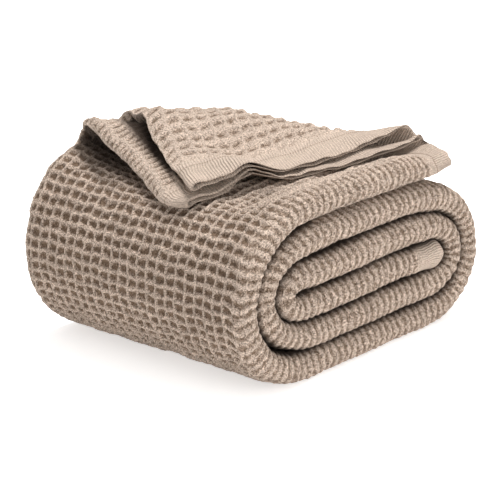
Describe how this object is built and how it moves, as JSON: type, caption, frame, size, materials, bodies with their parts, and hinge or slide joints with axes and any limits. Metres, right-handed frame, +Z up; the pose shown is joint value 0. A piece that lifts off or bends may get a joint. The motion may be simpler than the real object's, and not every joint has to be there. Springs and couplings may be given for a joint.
{
  "type": "rolled blanket",
  "caption": "Cotton waffle blanket folded lengthwise into a strip and wound into a flattened roll, with the back corner of its outer end turned over.",
  "frame": {"origin": "middle of the bounding box in X and Y, on the surface the roll rests on", "axes": "+X across the roll towards the side where its outer end lies, +Y along the roll's axis away from the end that shows the spiral, +Z up"},
  "size_m": [0.3978, 0.3156, 0.2414],
  "materials": {
    "cotton": "matt woven"
  },
  "bodies": {
    "root": {"blanket": "cotton"}
  },
  "joints": []
}
